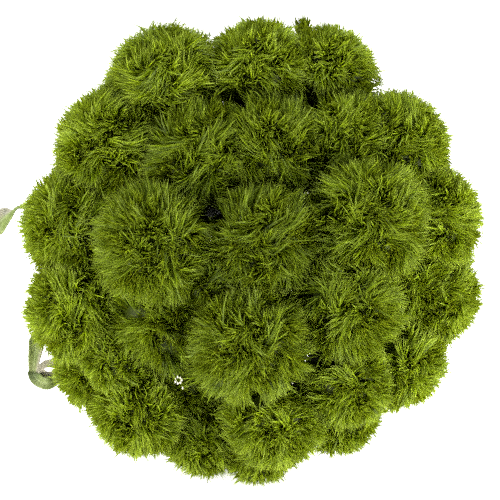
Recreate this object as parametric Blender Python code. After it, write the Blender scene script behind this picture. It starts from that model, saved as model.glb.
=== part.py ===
"""Cut sweet william of the green, moss-headed kind: thirty heads in a tied bunch that lies on its side.

The bunch is laid out along its own axis, in millimetres: across (to the right), up, and ahead (from the
middle of the tie towards the heads). An empty then tips that axis until the lowest heads and the cut ends
of the stems rest on the surface.
"""

import math
import random
from collections import namedtuple

import bmesh
import bpy
import numpy as np
from mathutils import Matrix, Vector

MM = 0.001
AXIS = Vector((0, 0, 1))
FAR = 1000.0  # beyond everything in the bunch

# The bunch, along its own axis
CROWN = 235.0  # middle of a head on the axis, ahead of the tie
DOME_RADIUS = 180.0  # roundness of the dome that the heads form
RIM = 130.0  # distance from the axis to the outer heads' middles
LEAN = math.radians(20)  # how far the outer heads lean outwards
CUT = 222.0  # cut ends, behind the tie
CUT_UNEVEN = 9.0  # how much shorter some of the stems are cut
FLARE = 1.45  # spread of the cut ends, against the waist

# Heads: place across and up, radius, and how far the head stands ahead of the dome
Head = namedtuple("Head", "across up radius ahead")
HEADS = {
    1: Head(-60, 119, 42, 8),
    2: Head(6, 129, 36, 8),
    3: Head(55, 127, 35, 4),
    4: Head(105, 75, 38, 4),
    5: Head(128, 21, 39, 2),
    6: Head(133, -33, 34, 0),
    7: Head(106, -79, 34, 6),
    8: Head(69, -91, 33, 8),
    9: Head(65, -120, 29, -10),
    10: Head(18, -120, 35, 7),
    11: Head(6, -144, 27, -8),
    12: Head(-32, -133, 34, -20),
    13: Head(-79, -112, 37, 0),
    14: Head(-110, -85, 33, -8),
    15: Head(-94, -76, 25, 9),
    16: Head(-122, -42, 39, 4),
    17: Head(-125, 18, 39, 2),
    18: Head(-98, 74, 41, 4),
    19: Head(-32, 62, 42, -8),
    20: Head(14, 70, 40, -8),
    21: Head(63, 75, 38, -6),
    22: Head(80, 19, 44, 4),
    23: Head(113, -20, 33, -6),
    24: Head(8, 5, 40, -4),
    25: Head(-63, 3, 42, 6),
    26: Head(1, -61, 42, 8),
    27: Head(65, -38, 40, 4),
    28: Head(-60, -46, 38, -10),
    29: Head(-25, -19, 27, -4),
    30: Head(-52, -90, 31, -26),
}
TOP_HEIGHT = 0.88  # a head's height above its middle, against its radius
BASE_HEIGHT = 0.74  # and below it, where the stem enters
FULL = 1.22  # how far a head spreads towards its neighbours, against its radius towards the open
CORE = 0.64  # size of the dense inside that the bracts stand out of, against the head's
TUFTS = 0.040  # corners of that core for each square millimetre of radius squared
RAGGED = 0.09  # how much shorter the shortest bracts are
STRAY = 0.05  # how far a bract's point strays to a side
CLEAR = 0.2  # half the gap between two heads that press on each other
SEAT = 0.55  # depth of the flat seat that the stem meets, against the radius
SEAT_GAP = 0.3
PRESS = 3.0  # how far the lowest head is pressed flat by what it lies on
PAD_ANGLE = math.radians(17)  # half of the flat patch, seen from the head's middle
PAD_CORNERS = 6

# Stems: side shoots carry the smaller heads, each from the main stem of a neighbour
SHOOTS = {9: 8, 11: 10, 15: 14, 29: 24, 30: 13}
SHOOT_FROM = 0.52  # where a shoot leaves, as a share of the way from the tie to the head
SHOOT_EASE = 0.35  # how gently it bends, as a share of its length
STEM_RADIUS = 2.2
STEM_TOP = 0.8  # the stem's radius under its head, against its radius at the tie
SHOOT_RADIUS = 1.4
STEM_EASE = 0.42  # how gently a stem bends after the tie and under its head
HEAD_EASE = 0.30
JOINT_SWELL = 1.4  # the stem's swollen joints, against its radius, and half their length
JOINT_HALF = 3.5
PITCH = 5.1  # middle to middle of two stems in the tie
STRAIGHT = 6.0  # how far each side of the tie's middle the stems run straight

# Leaves: stem, joint as a share of the way from the tie to the head, turn round the stem from straight
# out, length, rise from straight out, and droop
Leaf = namedtuple("Leaf", "stem joint turn length rise droop")
LEAVES = [
    Leaf(1, 0.42, 34, 78, 40, 52),
    Leaf(1, 0.42, -30, 70, 44, 60),
    Leaf(1, 0.72, 38, 58, 8, 30),
    Leaf(2, 0.50, 26, 74, 30, 55),
    Leaf(2, 0.50, -34, 62, 34, 44),
    Leaf(2, 0.70, -24, 52, 6, 30),
    Leaf(3, 0.40, 30, 76, 42, 50),
    Leaf(3, 0.40, -30, 70, 38, 60),
    Leaf(3, 0.71, -34, 54, 8, 30),
    Leaf(4, 0.48, 28, 72, 26, 50),
    Leaf(4, 0.48, -32, 80, 30, 40),
    Leaf(4, 0.73, 30, 56, 6, 30),
    Leaf(5, 0.40, 30, 74, 44, 52),
    Leaf(5, 0.40, -28, 78, 38, 58),
    Leaf(5, 0.72, -30, 56, 8, 28),
    Leaf(6, 0.51, 24, 66, 26, 50),
    Leaf(6, 0.73, 18, 50, 6, 28),
    Leaf(7, 0.40, 28, 72, 40, 55),
    Leaf(7, 0.40, -30, 76, 42, 48),
    Leaf(7, 0.70, 30, 52, 4, 30),
    Leaf(12, 0.44, 24, 62, 46, 40),
    Leaf(12, 0.68, -28, 40, 10, 20),
    Leaf(13, 0.38, -30, 70, 44, 46),
    Leaf(13, 0.68, 26, 46, 8, 24),
    Leaf(14, 0.40, -26, 74, 34, 60),
    Leaf(14, 0.70, 30, 48, 4, 28),
    Leaf(16, 0.40, -34, 70, 40, 56),
    Leaf(17, 0.40, -32, 72, 42, 54),
    Leaf(18, 0.48, 30, 78, 30, 52),
    Leaf(18, 0.48, -30, 74, 34, 48),
    Leaf(18, 0.73, -32, 56, 6, 30),
]
LEAF_WIDTH = 14.0
LEAF_THICK = 0.7
LEAF_ROWS = 6
LEAF_BASE = 0.16  # how far along its full lens shape a leaf starts
LEAF_LEAST = 0.07  # its narrowest, against its widest
KEEL = 0.28  # how far a leaf's edges stand above its midrib, against half its width

# Two leaves that reach past the heads on the left. Each of the points that one follows after its joint has
# its place and the way to the leaf's right-hand edge.
LongLeaf = namedtuple("LongLeaf", "stem joint width points")
LONG_LEAVES = [
    LongLeaf(17, 0.62, 19, [
        ((-110, 18, 138), (0, -0.5, 1)),
        ((-140, 28, 150), (0, -0.3, 1)),
        ((-167, 31, 158), (0, -0.2, 1)),
        ((-181, 21, 160), (0, -1, 0.1)),
        ((-196, 17, 158), (0, -1, 0)),
        ((-208, 15, 154), (0, -1, 0)),
    ]),
    LongLeaf(16, 0.62, 12, [
        ((-105, -42, 134), (-0.7, 0.7, 0)),
        ((-146, -56, 148), (-0.8, 0.5, 0)),
        ((-156, -74, 156), (-1, 0, 0)),
        ((-158, -87, 158), (-1, -0.2, 0.3)),
        ((-154, -94, 164), (-0.3, -0.6, 0.8)),
        ((-143, -96, 160), (0.2, -1, 0.2)),
    ]),
]

# Tie: turns of twine, side by side
TIE_WIDTH = 7.5
TIE_THICK = 1.5
TIE_TURNS = 3
TIE_GROOVE = 0.45  # thickness between two turns, against the thickest
TIE_CORNERS = 24

STEM_GREEN = (0.24, 0.36, 0.10, 1)
HEAD_GREEN = (0.22, 0.38, 0.03, 1)
TWINE_BROWN = (0.50, 0.36, 0.19, 1)


def clear_scene():
    for obj in list(bpy.data.objects):
        bpy.data.objects.remove(obj)


def material(name, colour, roughness):
    made = bpy.data.materials.new(name)
    made.use_nodes = True
    shader = made.node_tree.nodes["Principled BSDF"]
    shader.inputs["Base Color"].default_value = colour
    shader.inputs["Roughness"].default_value = roughness
    shader.inputs["Metallic"].default_value = 0.0
    made.diffuse_color = colour
    return made


def add_object(name, data):
    obj = bpy.data.objects.new(name, data)
    bpy.context.collection.objects.link(obj)
    return obj


def add_node(name, mesh, finish):
    mesh.materials.clear()
    mesh.materials.append(finish)
    mesh.shade_smooth()
    mesh.set_sharp_from_angle(angle=math.radians(40))
    return add_object(name, mesh)


def mesh_from(name, bm):
    mesh = bpy.data.meshes.new(name)
    bm.to_mesh(mesh)
    bm.free()
    return mesh


def evaluated_mesh(obj):
    """What the object's curve or modifiers make, as a mesh of its own."""
    bpy.context.view_layer.update()
    return bpy.data.meshes.new_from_object(obj.evaluated_get(bpy.context.evaluated_depsgraph_get()))


# Layout of the bunch


def head_middle(number):
    """Middle of a head, on the dome or ahead of it by its own amount."""
    head = HEADS[number]
    drop = (head.across**2 + head.up**2) / (2 * DOME_RADIUS)
    return Vector((head.across, head.up, CROWN - drop + head.ahead))


def outward(number):
    """From the bunch's axis to a head."""
    return Vector((HEADS[number].across, HEADS[number].up, 0))


def at_rim(number):
    """How far out a head is, from 0 on the axis to 1 at the rim."""
    return min(1, outward(number).length / RIM) ** 2


def head_axis(number):
    """The way a head faces: along the bunch in the middle, leaning outwards at the rim."""
    lean = LEAN * outward(number).length / RIM
    return AXIS * math.cos(lean) + outward(number).normalized() * math.sin(lean)


def head_base(number):
    """The point under a head where its stem ends."""
    depth = SEAT * HEADS[number].radius + SEAT_GAP
    return head_middle(number) - head_axis(number) * depth


def waist_places():
    """Where each main stem passes the tie: the heads' places drawn in, then packed side by side."""
    drawn_in, settle, squeeze_until, shrink, push_share = 0.13, 600, 420, 0.99, 0.45
    numbers = [n for n in HEADS if n not in SHOOTS]
    places = np.array([HEADS[n][:2] for n in numbers], float) * drawn_in
    for step in range(settle):
        apart = places[:, None] - places[None]
        gap = np.hypot(apart[..., 0], apart[..., 1])
        np.fill_diagonal(gap, FAR)
        push = np.clip(PITCH - gap, 0, None) / gap
        places += push_share * (apart * push[..., None]).sum(1)
        if step < squeeze_until:
            places *= shrink
    return {n: Vector((*place, 0)) for n, place in zip(numbers, places)}


def bezier(ends, share):
    a, b, c, d = ends
    rest = 1 - share
    return a * rest**3 + b * 3 * rest**2 * share + c * 3 * rest * share**2 + d * share**3


class Stem:
    """The middle line of a main stem, from its cut end through the tie to its head."""

    def __init__(self, number, waist):
        self.number = number
        self.waist = waist
        length = CUT - CUT_UNEVEN * random.Random(number).random()
        self.cut = Vector((waist.x * FLARE, waist.y * FLARE, -length))
        leaving, top = waist + AXIS * STRAIGHT, head_base(number)
        reach = (top - leaving).length
        self.upper = (
            leaving,
            leaving + AXIS * reach * STEM_EASE,
            top - head_axis(number) * reach * HEAD_EASE,
            top,
        )

    def above(self, share):
        """A point between the tie, at 0, and the head, at 1."""
        return bezier(self.upper, share)

    def below(self, share):
        """A point between the tie, at 0, and the cut end, at 1."""
        spread = self.waist.lerp(self.cut, share**2)
        return Vector((spread.x, spread.y, -STRAIGHT + (self.cut.z + STRAIGHT) * share))

    def heading(self, share):
        step = 0.01
        return (self.above(share + step) - self.above(share - step)).normalized()

    def shoot(self, number):
        """A side shoot's curve, from inside this stem to its own small head."""
        root, top = self.above(SHOOT_FROM), head_base(number)
        reach = (top - root).length
        return (
            root,
            root + self.heading(SHOOT_FROM) * reach * SHOOT_EASE,
            top - head_axis(number) * reach * SHOOT_EASE,
            top,
        )


def middle_lines(stems):
    """Points along each head's own stem or shoot, by the head's number."""
    shares = [i / 40 for i in range(41)]
    lines = {n: [stem.above(s) for s in shares] for n, stem in stems.items()}
    for small, owner in SHOOTS.items():
        curve = stems[owner].shoot(small)
        lines[small] = [bezier(curve, s) for s in shares]
    return lines


# Surface that the bunch lies on


def down_at(tilt):
    """The way down, along the bunch's own axes, when its axis is tipped up by tilt."""
    return Vector((0, -math.cos(tilt), -math.sin(tilt)))


def depth_of_heads(down):
    return max(head_middle(n).dot(down) + HEADS[n].radius for n in HEADS) - PRESS


def depth_of_ends(down, stems):
    return max(stem.cut.dot(down) for stem in stems.values()) + STEM_RADIUS * abs(down.y)


def lying_tilt(stems):
    """The tip of the bunch's axis at which its lowest head and its cut ends rest together."""
    low, high = math.radians(5), math.radians(40)
    for _ in range(40):
        middle = (low + high) / 2
        down = down_at(middle)
        if depth_of_heads(down) > depth_of_ends(down, stems):
            low = middle
        else:
            high = middle
    return low


# Heads


def walls_of(number, lines, down, floor):
    """Flat limits of a head, as (direction, distance): its neighbours, passing stems and the surface last."""
    middle, radius = head_middle(number), HEADS[number].radius
    walls = []
    for other in HEADS:
        if other == number:
            continue
        way = head_middle(other) - middle
        span = way.length
        reach = (span**2 + radius**2 - HEADS[other].radius ** 2) / (2 * span)
        walls.append((way / span, reach - CLEAR))
        passing = min((point - middle for point in lines[other]), key=lambda p: p.length)
        walls.append((passing.normalized(), passing.length - STEM_RADIUS * JOINT_SWELL - CLEAR))
    walls.append((down, floor - middle.dot(down)))
    return walls


def free_reach(direction, walls):
    """How far a ray from the head's middle runs before its nearest wall."""
    faced = [(reach, direction.dot(way)) for way, reach in walls]
    return min((reach / facing for reach, facing in faced if facing > 0), default=FAR)


def ball_reach(number, direction):
    """How far a head reaches: a squashed ball that spreads on the sides where it has neighbours."""
    rise = direction.dot(head_axis(number))
    height = TOP_HEIGHT if rise > 0 else BASE_HEIGHT
    ball = HEADS[number].radius / math.sqrt(1 - rise**2 + (rise / height) ** 2)
    to_the_open = max(0, direction.dot(outward(number).normalized())) * at_rim(number)
    return ball * (1 + (FULL - 1) * (1 - rise**2) * (1 - to_the_open))


def turned_to(way):
    return AXIS.rotation_difference(way).to_matrix()


def even_directions(count, pole):
    """Directions spread evenly on a ball, the first of them along pole."""
    turn = math.pi * (3 - math.sqrt(5))
    aim = turned_to(pole)
    found = []
    for i in range(count):
        height = 1 - 2 * i / (count - 1)
        ring = math.sqrt(max(0, 1 - height**2))
        found.append(aim @ Vector((ring * math.cos(i * turn), ring * math.sin(i * turn), height)))
    return found


def pad_directions(down):
    """The middle and the corners of the flat patch that a head is pressed on."""
    aim = turned_to(down)
    out, along = math.sin(PAD_ANGLE), math.cos(PAD_ANGLE)
    turns = [i * math.tau / PAD_CORNERS for i in range(PAD_CORNERS)]
    return [down, *(aim @ Vector((out * math.cos(a), out * math.sin(a), along)) for a in turns)]


def head_node(number, lines, down, floor, finish):
    """A ball of pointed bract tufts on a core, cut flat where it meets its neighbours or the surface."""
    draw = random.Random(number)
    radius = HEADS[number].radius
    walls = walls_of(number, lines, down, floor)
    under = -head_axis(number)
    directions = even_directions(round(TUFTS * radius**2), under)
    pad = []
    if walls[-1][1] < radius:
        margin = math.cos(PAD_ANGLE * 1.6)
        pad = pad_directions(down)
        directions = [d for d in directions if d.dot(down) < margin]

    bm = bmesh.new()
    roots = [bm.verts.new(d) for d in directions]
    pad_ring = {bm.verts.new(d) for d in pad}
    bmesh.ops.convex_hull(bm, input=bm.verts)
    bmesh.ops.recalc_face_normals(bm, faces=bm.faces)
    seat_ring = {v for f in roots[0].link_faces for v in f.verts}
    flat = {f for f in bm.faces if pad_ring.issuperset(f.verts)} | set(roots[0].link_faces)
    tips = set(bmesh.ops.poke(bm, faces=[f for f in bm.faces if f not in flat])["verts"])
    for vert in bm.verts:
        direction = vert.co.normalized()
        if vert in tips:
            direction += Vector([draw.uniform(-STRAY, STRAY) for _ in range(3)])
            direction.normalize()
        free = free_reach(direction, walls)
        if vert in tips:
            reach = ball_reach(number, direction) * (1 - RAGGED * draw.random())
        elif vert in pad_ring:
            reach = free
        elif vert in seat_ring:
            reach = SEAT * radius / direction.dot(under)
        else:
            reach = min(CORE * ball_reach(number, direction), 0.8 * free)
        vert.co = direction * min(reach, free) * MM
    node = add_node(f"head_{number:02d}", mesh_from("head", bm), finish)
    node.location = head_middle(number) * MM
    return node


# Stems and leaves


def stalk(name, points, radii):
    """A round stalk of six sides along points, as the mesh of a curve with a bevel and filled caps."""
    curve = bpy.data.curves.new(name, "CURVE")
    curve.dimensions = "3D"
    curve.bevel_depth = MM
    curve.bevel_resolution = 1
    curve.use_fill_caps = True
    spline = curve.splines.new("POLY")
    spline.points.add(len(points) - 1)
    for knot, point, radius in zip(spline.points, points, radii):
        knot.co = (*(point * MM), 1)
        knot.radius = radius
    line = add_object(name, curve)
    mesh = evaluated_mesh(line)
    bpy.data.objects.remove(line)
    return mesh


def stem_line(stem):
    """Points and radii of a main stem, with three points at each swollen joint."""
    points = [stem.below(share) for share in (1, 0.7, 0.4, 0)]
    radii = [STEM_RADIUS] * len(points)
    half = JOINT_HALF / (stem.above(1) - stem.above(0)).length
    joints = {leaf.joint for leaf in (*LEAVES, *LONG_LEAVES) if leaf.stem == stem.number}
    swells = {}
    for share in (0, 0.2, 0.4, 0.6, 0.8, 0.93, 1):
        if all(abs(share - joint) > 2.5 * half for joint in joints):
            swells[share] = 1.0
    for joint in joints:
        swells |= {joint - half: 1.0, joint: JOINT_SWELL, joint + half: 1.0}
    for share, swell in sorted(swells.items()):
        points.append(stem.above(share))
        radii.append(STEM_RADIUS * swell * (1 + (STEM_TOP - 1) * share))
    return points, radii


def shoot_line(stem, number):
    """Points and radii of a side shoot."""
    shares = (0, 0.17, 0.33, 0.5, 0.67, 0.83, 0.95, 1)
    curve = stem.shoot(number)
    return [bezier(curve, s) for s in shares], [SHOOT_RADIUS] * len(shares)


def half_width(share, width):
    """Half width of a lance-shaped leaf: clasping at the base, widest before the middle, pointed."""
    if share == 1:
        return LEAF_LEAST * width / 2
    along = LEAF_BASE + (1 - LEAF_BASE) * share
    return width / 2 * max(math.sin(math.pi * along**0.8) ** 0.85, LEAF_LEAST)


def arched_rows(stem, leaf):
    """Places and right-hand ways of a leaf that rises from the stem and arches over towards its tip."""
    place, along = stem.above(leaf.joint), stem.heading(leaf.joint)
    out = Vector((place.x, place.y, 0))
    out = (out - along * out.dot(along)).normalized()
    out = Matrix.Rotation(math.radians(leaf.turn), 3, along) @ out
    right = along.cross(out).normalized()
    rise = math.radians(leaf.rise)
    rows = [(place, right)]
    for _ in range(LEAF_ROWS):
        place = place + (out * math.cos(rise) + along * math.sin(rise)) * leaf.length / LEAF_ROWS
        rise -= math.radians(leaf.droop) / LEAF_ROWS
        rows.append((place, right))
    return rows


def long_rows(stem, leaf):
    rows = [(Vector(place), Vector(right)) for place, right in leaf.points]
    return [(stem.above(leaf.joint), rows[0][1]), *rows]


def blade(name, rows, width):
    """A thin keeled blade along rows, each a place and the way to its right-hand edge."""
    last = len(rows) - 1
    bm = bmesh.new()
    bmesh.ops.create_grid(bm, x_segments=2, y_segments=last, size=1)
    for vert in bm.verts:
        row, edge = round((vert.co.y + 1) / 2 * last), round(vert.co.x)
        place, right = rows[row]
        heading = (rows[min(row + 1, last)][0] - rows[max(row - 1, 0)][0]).normalized()
        right = (right - heading * right.dot(heading)).normalized()
        half = half_width(row / last, width)
        keel = right.cross(heading) * abs(edge) * half * KEEL
        vert.co = (place + right * edge * half + keel) * MM
    bmesh.ops.triangulate(bm, faces=bm.faces)
    bmesh.ops.recalc_face_normals(bm, faces=bm.faces)
    obj = add_object(name, mesh_from(name, bm))
    thick = obj.modifiers.new("Thickness", "SOLIDIFY")
    thick.thickness = LEAF_THICK * MM
    thick.offset = 0
    return obj


def joined(first, others):
    """One mesh from first and the others, by a Boolean union, with all of them removed."""
    group = bpy.data.collections.new("joined")
    for other in others:
        group.objects.link(other)
    union = first.modifiers.new("Union", "BOOLEAN")
    union.operation = "UNION"
    union.operand_type = "COLLECTION"
    union.collection = group
    union.solver = "EXACT"
    mesh = evaluated_mesh(first)
    for obj in (first, *others):
        bpy.data.objects.remove(obj)
    bpy.data.collections.remove(group)
    return mesh


def stem_node(stem, finish):
    """A main stem with its leaves and any side shoot, as one body."""
    mesh = stalk("main_stem", *stem_line(stem))
    others = [
        blade("leaf", arched_rows(stem, leaf), LEAF_WIDTH)
        for leaf in LEAVES
        if leaf.stem == stem.number
    ]
    others += [
        blade("long_leaf", long_rows(stem, leaf), leaf.width)
        for leaf in LONG_LEAVES
        if leaf.stem == stem.number
    ]
    others += [
        add_object("shoot", stalk("shoot", *shoot_line(stem, small)))
        for small, owner in SHOOTS.items()
        if owner == stem.number
    ]
    if others:
        mesh = joined(add_object("main_stem", mesh), others)
    return add_node(f"stem_{stem.number:02d}", mesh, finish)


# Tie


def round_way(turn):
    return Vector((math.cos(turn), math.sin(turn), 0))


def tie_loop(stems, grow):
    """Corners of a loop drawn tight round the stems at the waist, grow outside their skins."""
    width = math.tau / TIE_CORNERS
    reach = [
        max(stem.waist.dot(round_way(i * width)) for stem in stems) + STEM_RADIUS + grow
        for i in range(TIE_CORNERS)
    ]
    corners = []
    for i in range(TIE_CORNERS):
        following = reach[(i + 1) % TIE_CORNERS]
        slide = (following - reach[i] * math.cos(width)) / math.sin(width)
        corners.append(round_way(i * width) * reach[i] + round_way(i * width + math.pi / 2) * slide)
    return corners


def tie_node(stems, finish):
    """Turns of twine round the waist, side by side, as one ridged band."""
    section = []
    for turn in range(TIE_TURNS):
        start, step = turn / TIE_TURNS - 0.5, 0.5 / TIE_TURNS
        section += [(start, TIE_GROOVE), (start + step, 1.0)]
    section += [(0.5, TIE_GROOVE), (0.5, 0.0), (-0.5, 0.0)]
    bm = bmesh.new()
    loops = []
    for along, out in section:
        corners = tie_loop(stems, SEAT_GAP + out * TIE_THICK)
        loops.append([bm.verts.new((c + AXIS * along * TIE_WIDTH) * MM) for c in corners])
    for near, far in zip(loops, loops[1:] + loops[:1]):
        for corner in range(TIE_CORNERS):
            before = corner - 1
            bm.faces.new((near[before], near[corner], far[corner], far[before]))
    bmesh.ops.recalc_face_normals(bm, faces=bm.faces)
    return add_node("tie", mesh_from("tie", bm), finish)


def lay_down(nodes, tilt, floor):
    """Hangs every node on one empty, tipped by tilt, with the surface at zero and the box centred."""
    bunch = add_object("bunch", None)
    slope, level = math.sin(tilt), math.cos(tilt)
    bunch.matrix_world = Matrix(((1, 0, 0, 0), (0, slope, -level, 0), (0, level, slope, 0), (0, 0, 0, 1)))
    for node in nodes:
        node.parent = bunch
    bpy.context.view_layer.update()
    corners = np.array([node.matrix_world @ v.co for node in nodes for v in node.data.vertices])
    low, high = corners.min(0), corners.max(0)
    bunch.location = (-(low[0] + high[0]) / 2, -(low[1] + high[1]) / 2, floor * MM)


def main():
    clear_scene()
    green = material("stem_and_leaf", STEM_GREEN, 0.55)
    moss = material("bracts", HEAD_GREEN, 0.6)
    twine = material("twine", TWINE_BROWN, 0.85)
    stems = {n: Stem(n, waist) for n, waist in waist_places().items()}
    tilt = lying_tilt(stems)
    down = down_at(tilt)
    floor = depth_of_heads(down)
    lines = middle_lines(stems)
    nodes = [head_node(n, lines, down, floor, moss) for n in HEADS]
    nodes += [stem_node(stem, green) for stem in stems.values()]
    nodes.append(tie_node(stems.values(), twine))
    lay_down(nodes, tilt, floor)


main()
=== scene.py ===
# %% [markdown]
# # Cut sweet william
# The green, moss-headed kind has no petals: each head is a ball of thread-like green bracts. Thirty
# heads on leafy stems are tied in a bunch, and the bunch lies on its side on a pale floor. The
# camera looks along it from the heads' end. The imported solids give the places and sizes, and each
# piece below stands where its solid is.

import math
import random
from collections import namedtuple

import bmesh
import bpy
import numpy as np
from mathutils import Matrix, Vector
from mathutils.geometry import interpolate_bezier


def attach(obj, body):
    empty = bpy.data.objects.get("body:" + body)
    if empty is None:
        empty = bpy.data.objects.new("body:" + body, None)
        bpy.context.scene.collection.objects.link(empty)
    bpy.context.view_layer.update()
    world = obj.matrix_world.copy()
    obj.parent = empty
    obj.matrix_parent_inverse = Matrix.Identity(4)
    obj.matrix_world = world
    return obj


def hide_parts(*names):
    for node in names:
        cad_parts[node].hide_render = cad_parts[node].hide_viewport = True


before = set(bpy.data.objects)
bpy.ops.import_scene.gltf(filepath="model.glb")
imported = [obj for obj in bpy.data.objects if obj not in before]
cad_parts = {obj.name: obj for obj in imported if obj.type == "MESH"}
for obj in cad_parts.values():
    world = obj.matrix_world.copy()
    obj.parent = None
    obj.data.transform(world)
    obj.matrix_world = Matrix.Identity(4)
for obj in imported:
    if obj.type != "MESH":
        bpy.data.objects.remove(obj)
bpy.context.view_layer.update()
MM = 0.001

# %% [markdown]
# ## The bunch's own axes
# A bunch is easiest to think of along its own length: across to the right, up, and ahead, from the
# middle of the tie towards the heads, all in millimetres. These are the sizes that the solids were
# made from, so the fine pieces are worked out from the same few numbers, and nothing has to be
# fitted by eye.

# %% Sizes of the bunch
CROWN = 235.0  # middle of a head on the axis, ahead of the tie
DOME_RADIUS = 180.0
RIM = 130.0
LEAN = math.radians(20)
CUT = 222.0
CUT_UNEVEN = 9.0
FLARE = 1.45
AHEAD = Vector((0, 0, 1))

Head = namedtuple("Head", "across up radius ahead")
HEADS = {number: Head(*numbers) for number, numbers in enumerate([  # five to a line
    (-60, 119, 42, 8), (6, 129, 36, 8), (55, 127, 35, 4), (105, 75, 38, 4), (128, 21, 39, 2),
    (133, -33, 34, 0), (106, -79, 34, 6), (69, -91, 33, 8), (65, -120, 29, -10), (18, -120, 35, 7),
    (6, -144, 27, -8), (-32, -133, 34, -20), (-79, -112, 37, 0), (-110, -85, 33, -8), (-94, -76, 25, 9),
    (-122, -42, 39, 4), (-125, 18, 39, 2), (-98, 74, 41, 4), (-32, 62, 42, -8), (14, 70, 40, -8),
    (63, 75, 38, -6), (80, 19, 44, 4), (113, -20, 33, -6), (8, 5, 40, -4), (-63, 3, 42, 6),
    (1, -61, 42, 8), (65, -38, 40, 4), (-60, -46, 38, -10), (-25, -19, 27, -4), (-52, -90, 31, -26),
], 1)}
SHOOTS = {9: 8, 11: 10, 15: 14, 29: 24, 30: 13}  # a small head's shoot is on a neighbour's stem


def dome(across, up):
    """How far ahead of the tie the dome stands."""
    return CROWN - (across**2 + up**2) / (2 * DOME_RADIUS)


def head_middle(number):
    across, up, _, ahead = HEADS[number]
    return Vector((across, up, dome(across, up) + ahead))


def outward(number):
    return Vector((*HEADS[number][:2], 0))


def tipped_out(number, most):
    """The bunch's axis, tipped outwards, and most at the rim."""
    angle = most * outward(number).length / RIM
    return AHEAD * math.cos(angle) + outward(number).normalized() * math.sin(angle)


def head_axis(number):
    return tipped_out(number, LEAN)


print("heads:", len(HEADS), "on", len(HEADS) - len(SHOOTS), "main stems")

# %% [markdown]
# ## Stems' middle lines
# Each main stem runs from its cut end through the tie and bends out to its head. In the tie the
# stems are packed side by side, like pencils in a fist: they start at the heads' places drawn in,
# and each pushes its neighbours away until none overlap. A smooth curve then carries a stem from
# the tie to the underside of its head.

# %% Where the stems run
SEAT = 0.55  # how far a stem ends below a head's middle, against its radius
SEAT_GAP = 0.3
STEM_RADIUS = 2.2
STEM_TOP = 0.8
SHOOT_RADIUS = 1.4
SHOOT_FROM = 0.52
SHOOT_EASE = 0.35
STEM_EASE = 0.42
HEAD_EASE = 0.30
PITCH = 5.1
STRAIGHT = 6.0
DRAWN_IN = 0.13
STEPS = 600
SQUEEZES = 420  # of the steps also draw the stems together
SQUEEZE = 0.99
PUSH = 0.45
FAR = 1000.0


def head_base(number):
    return head_middle(number) - head_axis(number) * (SEAT * HEADS[number].radius + SEAT_GAP)


def bezier(ends, share):
    a, b, c, d = ends
    rest = 1 - share
    return a * rest**3 + b * 3 * rest**2 * share + c * 3 * rest * share**2 + d * share**3


def arch(root, heading, ease, number, top_ease):
    """A curve that leaves its root along a heading and meets a head from below."""
    top = head_base(number)
    reach = (top - root).length
    return root, root + heading * reach * ease, top - head_axis(number) * reach * top_ease, top


class Stem:
    """The middle line of a main stem, from its cut end to its head."""

    def __init__(self, number, waist):
        self.number = number
        self.waist = waist
        length = CUT - CUT_UNEVEN * random.Random(number).random()
        self.cut = Vector((waist.x * FLARE, waist.y * FLARE, -length))
        self.upper = arch(waist + AHEAD * STRAIGHT, AHEAD, STEM_EASE, number, HEAD_EASE)

    def above(self, share):
        return bezier(self.upper, share)

    def below(self, share):
        spread = self.waist.lerp(self.cut, share**2)
        return Vector((spread.x, spread.y, -STRAIGHT + (self.cut.z + STRAIGHT) * share))

    def heading(self, share):
        step = 0.01
        return (self.above(share + step) - self.above(share - step)).normalized()

    def shoot(self, number):
        root, heading = self.above(SHOOT_FROM), self.heading(SHOOT_FROM)
        return arch(root, heading, SHOOT_EASE, number, SHOOT_EASE)


main_stems = [n for n in HEADS if n not in SHOOTS]
places = np.array([HEADS[n][:2] for n in main_stems], float) * DRAWN_IN
for step in range(STEPS):
    apart = places[:, None] - places[None]
    gap = np.hypot(apart[..., 0], apart[..., 1])
    np.fill_diagonal(gap, FAR)
    push = np.clip(PITCH - gap, 0, None) / gap
    places += PUSH * (apart * push[..., None]).sum(1)
    if step < SQUEEZES:
        places *= SQUEEZE
STEMS = {n: Stem(n, Vector((*place, 0))) for n, place in zip(main_stems, places)}
print("widest place in the tie, mm:", round(max(s.waist.length for s in STEMS.values()), 1))

# %% [markdown]
# ## Lying down
# The bunch rests on its lowest heads and on the lowest cut end. The tip of its axis is found by
# halving: tip it more while the heads reach lower than the ends, and less otherwise. Its place on
# the floor is then read off the cut end of one solid stem.

# %% From the bunch's axes to the floor's
PRESS = 3.0  # how far the lowest head is pressed flat
TILTS = math.radians(5), math.radians(40)
HALVINGS = 40
MEASURED_STEM = 24
END_SLICE = 0.3 * MM


def down_at(tilt):
    return Vector((0, -math.cos(tilt), -math.sin(tilt)))


def depth_of_heads(down):
    return max(head_middle(n).dot(down) + HEADS[n].radius for n in HEADS) - PRESS


def depth_of_ends(down):
    return max(stem.cut.dot(down) for stem in STEMS.values()) + STEM_RADIUS * abs(down.y)


low, high = TILTS
for _ in range(HALVINGS):
    middle = (low + high) / 2
    if depth_of_heads(down_at(middle)) > depth_of_ends(down_at(middle)):
        low = middle
    else:
        high = middle
TILT = low
DOWN = down_at(TILT)
FLOOR = depth_of_heads(DOWN)
TURN = np.array([
    [1, 0, 0],
    [0, math.sin(TILT), -math.cos(TILT)],
    [0, math.cos(TILT), math.sin(TILT)],
])
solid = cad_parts[f"stem_{MEASURED_STEM:02d}"].data
points = np.array([v.co for v in solid.vertices])
along = points @ TURN[:, 2]
ring = np.unique(points[along < along.min() + END_SLICE].round(7), axis=0)
PLACE = ring.mean(0) - TURN @ np.array(STEMS[MEASURED_STEM].cut) * MM


def on_floor(points):
    """Points in the bunch's axes, in millimetres, as points of the scene, in metres."""
    return np.asarray(points) @ TURN.T * MM + PLACE


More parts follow.
